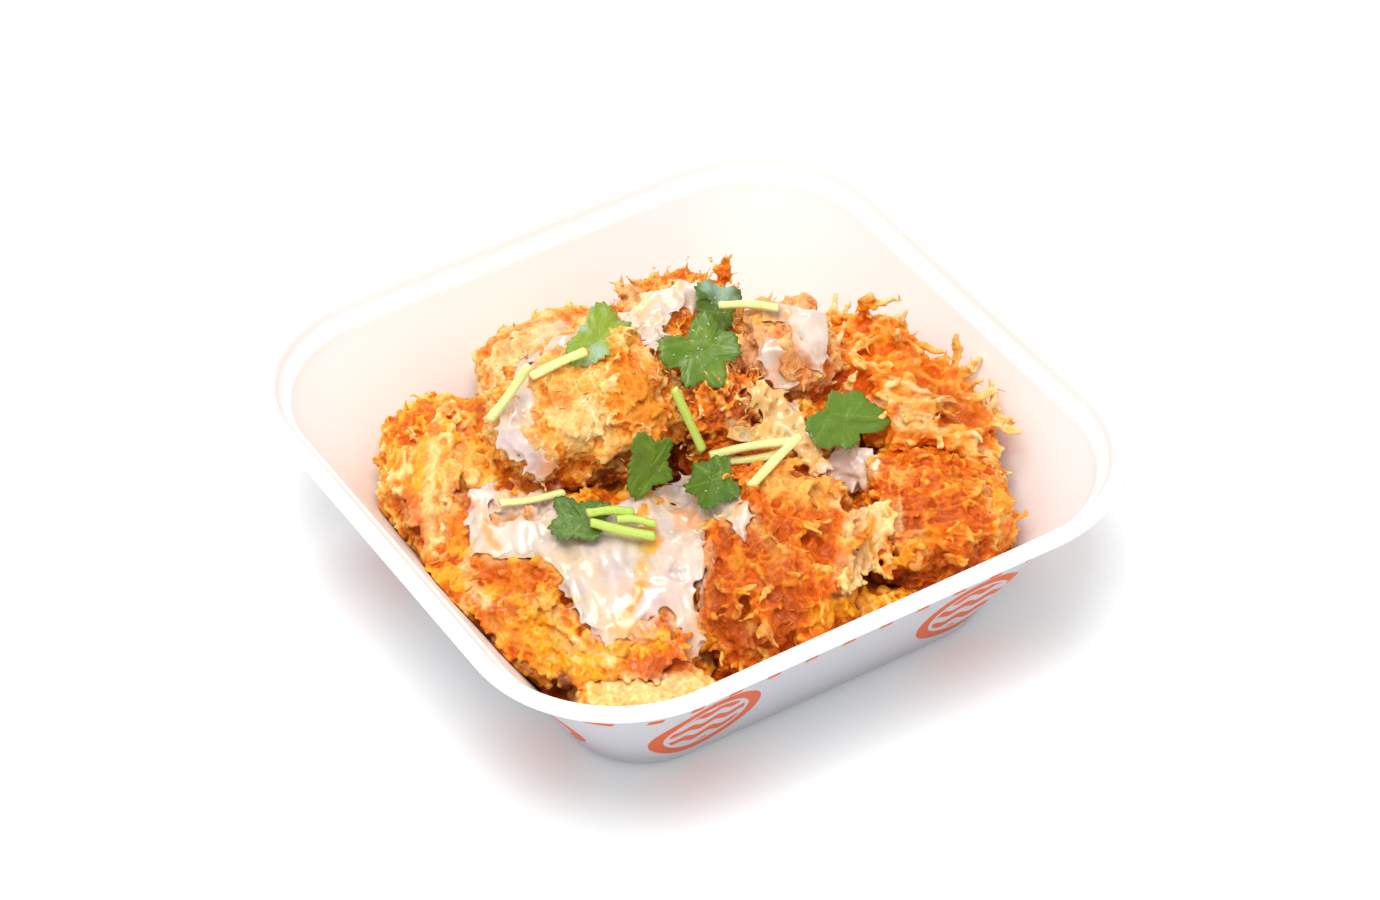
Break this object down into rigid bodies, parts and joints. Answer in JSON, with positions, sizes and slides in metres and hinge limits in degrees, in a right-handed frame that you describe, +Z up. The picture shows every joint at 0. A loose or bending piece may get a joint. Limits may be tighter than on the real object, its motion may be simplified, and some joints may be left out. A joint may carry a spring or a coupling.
{
  "type": "katsudon in a takeaway bowl",
  "caption": "Katsudon: breaded cutlets with soft egg and mitsuba leaves, heaped in a square white takeaway bowl with rounded corners and a thick lip.",
  "frame": {"origin": "centre of the bowl's base, on the surface it stands on", "axes": "+Z up out of the bowl, X and Y along the bowl's sides; the picture is taken from the -X -Y corner"},
  "size_m": [0.17, 0.17, 0.0723],
  "materials": {
    "bowl": null,
    "rice": "moist rice and egg soaked in sauce",
    "crumb": "moist fried breadcrumb coat",
    "egg_white": "soft glossy egg white",
    "egg_cream": "creamy soft-set egg",
    "egg_yolk": "glossy soft-set yolk",
    "leaf": "fresh green leaf, moist",
    "stem": "pale green cut stem, moist"
  },
  "bodies": {
    "root": {"bowl": "bowl", "bed_of_rice_and_egg": "rice", "cutlet_front_left": "crumb", "cutlet_left": "crumb", "cutlet_front_right": "crumb", "cutlet_right_front": "crumb", "cutlet_right_back": "crumb", "cutlet_back_left": "crumb", "cutlet_back": "crumb", "cutlet_middle": "crumb", "cutlet_upper_left": "crumb", "cutlet_upper_right": "crumb", "crumb_tuft": "crumb", "egg_curds_corner": "egg_cream", "egg_curds_right": "egg_cream", "egg_white_front": "egg_white", "egg_white_back": "egg_white", "egg_white_upper_right": "egg_white", "egg_white_middle": "egg_white", "egg_white_right": "egg_white", "egg_white_upper_left": "egg_white", "egg_white_back_left": "egg_white", "egg_cream_left": "egg_cream", "egg_strands_right": "egg_cream", "egg_yellow_front": "egg_yolk", "egg_yolk_right_front": "egg_yolk", "egg_yolk_right_end": "egg_yolk", "leaf_1": "leaf", "leaf_2": "leaf", "leaf_3": "leaf", "leaf_4": "leaf", "leaf_5": "leaf", "leaf_6": "leaf", "leaf_7": "leaf", "stem_1": "stem", "stem_2": "stem", "stem_3": "stem", "stem_4": "stem", "stem_5": "stem", "stem_6": "stem", "stem_7": "stem", "stem_8": "stem", "stem_9": "stem", "stem_10": "stem", "stem_11": "stem"}
  },
  "joints": []
}
